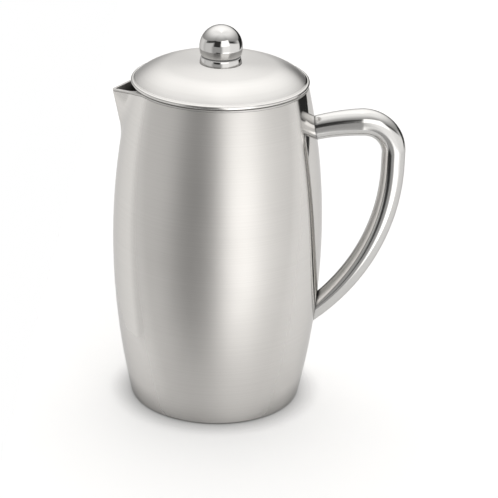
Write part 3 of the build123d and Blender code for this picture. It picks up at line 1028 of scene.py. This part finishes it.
# the dark card fades out towards its edges
card, cardTree, cardShader = layPlane("darkCard", darkCard)
card.visible_camera = False
cardPlace = addNode(cardTree, "ShaderNodeTexCoord").outputs["Object"]
cardSpot = addNode(cardTree, "ShaderNodeSeparateXYZ", {"Vector": cardPlace}).outputs
cardLimits = darkCard["across"] + darkCard["along"]
cardMask = panelMask(cardTree, "card", cardSpot["X"], cardSpot["Y"], cardLimits)
feed(cardTree, cardShader, {"Alpha": cardMask})

# panels in degrees: turn (left, right, softness) is 0 towards the camera and + to the right, rise
# (low, high, softness) is above the horizon or, with "over", above the edge of the overhead light,
# which drops to the back; a later panel covers an earlier one
skyTint = (1.0, 0.99, 0.975)
cardLight = 0.66
panels = [
    {"name": "left card", "turn": (-150, -50, 8), "rise": (-90, 200, 4), "light": 0.74},
    {"name": "right card", "turn": (50, 112, 4), "rise": (-90, 60, 4), "light": 1.03},
    {"name": "back wall", "turn": (112, 255, 8), "rise": (-90, 90, 8), "light": 0.90},
    {"name": "back horizon", "turn": (150, 210, 15), "rise": (-8, 4, 3), "light": 0.45},
    {"name": "dark arc", "turn": (-100, 100, 30), "over": (-11, 2, 3), "light": 0.06},
    {"name": "front left low", "turn": (-46, 6, 8), "rise": (-90, 9, 2), "light": 0.40},
    {"name": "front right low", "turn": (9, 52, 8), "rise": (-90, 13, 2), "light": 1.15},
    {"name": "front right floor", "turn": (12, 50, 10), "rise": (-90, -20, 6), "light": 2.50},
    {"name": "right floor", "turn": (50, 78, 10), "rise": (-90, -22, 6), "light": 1.45},
    {"name": "overhead edge", "turn": (-400, 400, 1), "over": (0, 200, 2), "light": 0.39},
    {"name": "overhead", "turn": (-400, 400, 1), "over": (23, 200, 22), "light": 1.18},
    {"name": "back glow", "turn": (158, 202, 34), "rise": (15, 200, 14), "light": 1.50},
    {"name": "overhead back", "turn": (145, 215, 35), "rise": (36, 200, 20), "light": 1.55},
    {"name": "dark window", "turn": (-41, -1, 7), "rise": (9, 38, 2), "light": 0.04},
    {"name": "bright window", "turn": (2, 49, 5), "rise": (13, 43, 2), "light": 1.80},
    {"name": "right gap", "turn": (116, 172, 3), "rise": (-16, 13, 3), "light": 0.03},
]
overheadEdge = {"frontTurn": 40.0, "backTurn": 150.0, "frontRise": 40.0, "backRise": 0.0}

world = bpy.data.worlds.new("studio")
bpy.context.scene.world = world
world.use_nodes = True
sky = world.node_tree
sky.nodes.clear()
direction = addNode(sky, "ShaderNodeTexCoord").outputs["Generated"]
split = addNode(sky, "ShaderNodeSeparateXYZ", {"Vector": direction}).outputs
skyRise = mathNode(sky, "DEGREES", mathNode(sky, "ARCSINE", split["Z"]))
towards = mathNode(sky, "MULTIPLY", split["Y"], -1)
skyTurn = mathNode(sky, "DEGREES", mathNode(sky, "ARCTAN2", split["X"], towards))
behind = mathNode(sky, "LESS_THAN", skyTurn, -90)
roundBack = mathNode(sky, "ADD", skyTurn, mathNode(sky, "MULTIPLY", behind, 360))
edgeRise = remap(
    sky, mathNode(sky, "ABSOLUTE", skyTurn), overheadEdge["frontRise"], overheadEdge["backRise"],
    overheadEdge["frontTurn"], overheadEdge["backTurn"],
)
skyOver = mathNode(sky, "SUBTRACT", skyRise, edgeRise)


def tinted(light):
    return tuple(light * tint for tint in skyTint)


skyLight = tinted(cardLight)
for panel in panels:
    rise, limits = (skyOver, panel["over"]) if "over" in panel else (skyRise, panel["rise"])
    mask = panelMask(sky, panel["name"], roundBack, rise, panel["turn"] + limits)
    skyLight = mixColours(sky, mask, skyLight, tinted(panel["light"]))
studioLight = addNode(sky, "ShaderNodeBackground", {"Color": skyLight, "Strength": 1.0})
white = addNode(sky, "ShaderNodeBackground", {"Color": (1, 1, 1, 1), "Strength": 1.0})
shown = addNode(sky, "ShaderNodeMixShader", {
    "Fac": addNode(sky, "ShaderNodeLightPath").outputs["Is Camera Ray"],
    1: studioLight.outputs["Background"], 2: white.outputs["Background"],
})
addNode(sky, "ShaderNodeOutputWorld", {"Surface": shown.outputs["Shader"]})
print("studio lit with", len(panels), "panels")

cameraSettings = {
    "place": (0.01837, -1.0494, 0.5343), "down": 23.0, "roll": 1.5, "lens": 142.69, "sensor": 36,
    "farthest": 20,
}
lens = bpy.data.cameras.new("photoCamera")
lens.lens = cameraSettings["lens"]
lens.sensor_width = cameraSettings["sensor"]
lens.clip_end = cameraSettings["farthest"]
camera = bpy.data.objects.new("photoCamera", lens)
bpy.context.scene.collection.objects.link(camera)
camera.location = cameraSettings["place"]
tilt = Matrix.Rotation(math.radians(90 - cameraSettings["down"]), 3, "X")
roll = Matrix.Rotation(math.radians(cameraSettings["roll"]), 3, "Z")
camera.rotation_euler = (tilt @ roll).to_euler()
bpy.context.scene.camera = camera

bpy.context.scene.view_settings.view_transform = "Standard"
